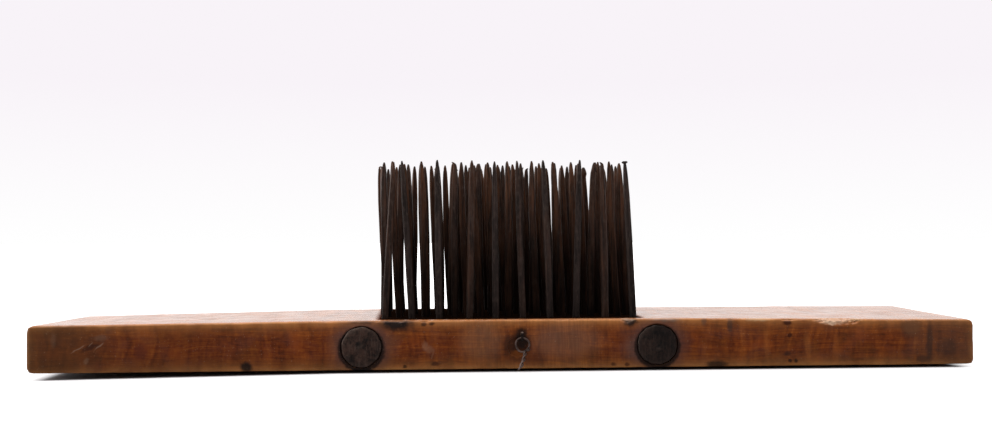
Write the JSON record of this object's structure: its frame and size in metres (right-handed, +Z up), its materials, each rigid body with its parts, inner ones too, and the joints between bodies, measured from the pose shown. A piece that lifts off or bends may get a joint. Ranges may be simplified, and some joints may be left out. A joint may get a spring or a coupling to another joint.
{
  "type": "flax hatchel",
  "caption": "Wooden plank comb with a block of tall tapered iron teeth, iron tie rods and a wire hanging loop, for dressing flax.",
  "frame": {"origin": "middle of the board's underside, which lies at z = 0", "axes": "+X along the board to the right as seen from the front, -Y towards the user, +Z up along the teeth"},
  "size_m": [0.602, 0.1614, 0.1335],
  "materials": {
    "board_wood": "old oiled fruitwood, worn",
    "tooth_iron": "forged, dark patina",
    "rod_iron": "forged, dark patina",
    "washer_iron": "hammered, dark patina",
    "nail_iron": "hand cut, dark patina",
    "wire_iron": "drawn wire, dull"
  },
  "bodies": {
    "hatchel": {"board": "board_wood", "tooth_row_1": "tooth_iron", "tooth_row_2": "tooth_iron", "tooth_row_3": "tooth_iron", "tooth_row_4": "tooth_iron", "tooth_row_5": "tooth_iron", "tooth_row_6": "tooth_iron", "tooth_row_7": "tooth_iron", "tooth_row_8": "tooth_iron", "tooth_row_9": "tooth_iron", "left_tie_rod": "rod_iron", "right_tie_rod": "rod_iron", "left_front_washer": "washer_iron", "left_back_washer": "washer_iron", "right_front_washer": "washer_iron", "right_back_washer": "washer_iron", "wire_nail": "nail_iron"},
    "hanging_wire": {"wire_loop": "wire_iron"}
  },
  "joints": [
    {"name": "wire_swing", "type": "hinge", "parent": "hatchel", "child": "hanging_wire", "pos_m": [0.0071, -0.0715, 0.018], "axis": [0, 1, 0], "range_deg": [-100, 100]}
  ]
}
